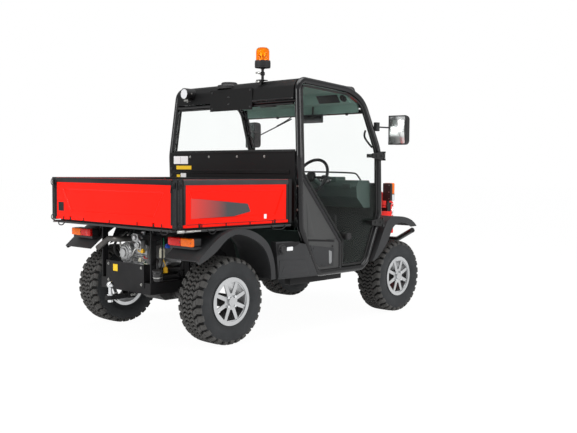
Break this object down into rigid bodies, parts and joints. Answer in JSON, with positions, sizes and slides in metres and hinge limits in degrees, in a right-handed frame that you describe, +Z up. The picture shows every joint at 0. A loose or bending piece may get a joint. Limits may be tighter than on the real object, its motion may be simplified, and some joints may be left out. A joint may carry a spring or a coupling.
{
  "type": "side-by-side utility vehicle",
  "caption": "Utility vehicle with a closed tube-framed cab and glass doors, a red drop-sided cargo bed that tips to the rear, and a tow ball.",
  "frame": {"origin": "on the ground, under the middle of the overall length and width", "axes": "+X forward, +Y to the vehicle's left, +Z up"},
  "size_m": [3.045, 1.92, 2.2039],
  "materials": {
    "frame_black": "satin black chassis paint",
    "tube_black": "gloss black powder coat",
    "panel_black": "satin black paint",
    "red_paint": "gloss red paint",
    "casting": "sand-cast alloy",
    "spring_steel": "black coated spring",
    "exhaust_steel": "heat-stained steel",
    "bright_steel": "polished steel",
    "moulding": "textured dark grey moulding",
    "liner": "soft greenish grey liner",
    "tinted_glass": "light green tinted safety glass",
    "seat_vinyl": "black grained vinyl",
    "clear_lens": "clear moulded lens",
    "red_lens": "ribbed red lens",
    "amber_lens": "amber lens",
    "radiator_alloy": "finned alloy core",
    "lamp_body": "black lamp housing",
    "wheel_grip": "moulded grip",
    "seal_black": "extruded black seal",
    "tyre": "worn tread rubber",
    "rim_alloy": "silver painted cast wheel"
  },
  "bodies": {
    "chassis": {"main_frame": "frame_black", "suspension_arms": "frame_black", "rear_uprights": "casting", "coil_overs": "spring_steel", "engine": "casting", "gearbox": "casting", "exhaust": "exhaust_steel", "rear_guard": "frame_black", "tow_hitch": "frame_black", "tow_ball": "bright_steel", "cab_sides": "moulding", "cab_frame": "tube_black", "cab_floor": "moulding", "rear_panel": "panel_black", "roof": "panel_black", "roof_liner": "liner", "cab_glass": "tinted_glass", "seat_base": "moulding", "seat_cushions": "seat_vinyl", "seat_backs": "seat_vinyl", "dashboard": "moulding", "rear_fenders": "moulding", "front_fenders": "moulding", "side_panels": "moulding", "headlamps": "clear_lens", "nose_panel": "red_paint", "radiator": "radiator_alloy", "bumper": "tube_black", "tail_lamps": "red_lens", "turn_signals": "amber_lens", "mirrors": "moulding", "plate_holder": "panel_black", "beacon_lens": "amber_lens", "beacon_base": "moulding", "work_lamps": "lamp_body"},
    "wheel_rear_left": {"tyre_rear_left": "tyre", "rim_rear_left": "rim_alloy"},
    "wheel_rear_right": {"tyre_rear_right": "tyre", "rim_rear_right": "rim_alloy"},
    "steer_left": {"knuckle_left": "casting"},
    "steer_right": {"knuckle_right": "casting"},
    "wheel_front_left": {"tyre_front_left": "tyre", "rim_front_left": "rim_alloy"},
    "wheel_front_right": {"tyre_front_right": "tyre", "rim_front_right": "rim_alloy"},
    "steering": {"steering_wheel": "wheel_grip"},
    "door_right": {"door_frame_right": "seal_black", "door_glass_right": "tinted_glass"},
    "door_left": {"door_frame_left": "seal_black", "door_glass_left": "tinted_glass"},
    "bed": {"bed_tub": "red_paint"},
    "side_board_right": {"board_right": "red_paint"},
    "side_board_left": {"board_left": "red_paint"},
    "gate": {"tailgate": "red_paint"},
    "lift_cylinder": {"lift_barrel": "frame_black"},
    "lift_piston": {"lift_rod": "bright_steel"},
    "hood": {"bonnet": "red_paint"}
  },
  "joints": [
    {"name": "wheel_rear_left_spin", "type": "hinge", "parent": "chassis", "child": "wheel_rear_left", "pos_m": [-0.9775, 0.62, 0.3125], "axis": [0, 1, 0], "continuous": true},
    {"name": "wheel_rear_right_spin", "type": "hinge", "parent": "chassis", "child": "wheel_rear_right", "pos_m": [-0.9775, -0.62, 0.3125], "axis": [0, 1, 0], "continuous": true},
    {"name": "steer_left_turn", "type": "hinge", "parent": "chassis", "child": "steer_left", "pos_m": [1.0325, 0.502, 0.3125], "axis": [0, 0, 1], "range_deg": [-30, 30]},
    {"name": "steer_right_turn", "type": "hinge", "parent": "chassis", "child": "steer_right", "pos_m": [1.0325, -0.502, 0.3125], "axis": [0, 0, 1], "range_deg": [-30, 30]},
    {"name": "wheel_front_left_spin", "type": "hinge", "parent": "steer_left", "child": "wheel_front_left", "pos_m": [1.0325, 0.62, 0.3125], "axis": [0, 1, 0], "continuous": true},
    {"name": "wheel_front_right_spin", "type": "hinge", "parent": "steer_right", "child": "wheel_front_right", "pos_m": [1.0325, -0.62, 0.3125], "axis": [0, 1, 0], "continuous": true},
    {"name": "steering_wheel_turn", "type": "hinge", "parent": "chassis", "child": "steering", "pos_m": [0.30716, -0.33, 1.18118], "axis": [-0.8826, 0, 0.4701], "range_deg": [-430, 430]},
    {"name": "door_right_swing", "type": "hinge", "parent": "chassis", "child": "door_right", "pos_m": [0.6905, -0.805, 1], "axis": [0, 0, 1], "range_deg": [0, 80]},
    {"name": "door_left_swing", "type": "hinge", "parent": "chassis", "child": "door_left", "pos_m": [0.6905, 0.805, 1], "axis": [0, 0, -1], "range_deg": [0, 80]},
    {"name": "bed_tilt", "type": "hinge", "parent": "chassis", "child": "bed", "pos_m": [-1.3275, 0, 0.815], "axis": [0, -1, 0], "range_deg": [0, 45]},
    {"name": "board_right_drop", "type": "hinge", "parent": "bed", "child": "side_board_right", "pos_m": [-0.95, -0.744, 0.86], "axis": [1, 0, 0], "range_deg": [0, 90]},
    {"name": "board_left_drop", "type": "hinge", "parent": "bed", "child": "side_board_left", "pos_m": [-0.95, 0.744, 0.86], "axis": [-1, 0, 0], "range_deg": [0, 90]},
    {"name": "tailgate_drop", "type": "hinge", "parent": "bed", "child": "gate", "pos_m": [-1.4765, 0, 0.86], "axis": [0, -1, 0], "range_deg": [0, 90]},
    {"name": "cylinder_lean", "type": "hinge", "parent": "chassis", "child": "lift_cylinder", "pos_m": [-0.9775, -0.2, 0.47], "axis": [0, -1, 0], "range_deg": [0, 15]},
    {"name": "piston_slide", "type": "slide", "parent": "lift_cylinder", "child": "lift_piston", "axis": [0.1368, 0, 0.9906], "range_m": [0, 0.29]},
    {"name": "bonnet_swing", "type": "hinge", "parent": "chassis", "child": "hood", "pos_m": [0.7085, 0, 1.13045], "axis": [0, -1, 0], "range_deg": [0, 50]}
  ],
  "couplings": [
    {"joint": "steer_right_turn", "follows": "steer_left_turn", "ratio": 1},
    {"joint": "steering_wheel_turn", "follows": "steer_left_turn", "ratio": 14},
    {"joint": "cylinder_lean", "follows": "bed_tilt", "ratio": 0.319},
    {"joint": "piston_slide", "follows": "bed_tilt", "m_per_rad": 0.364}
  ]
}
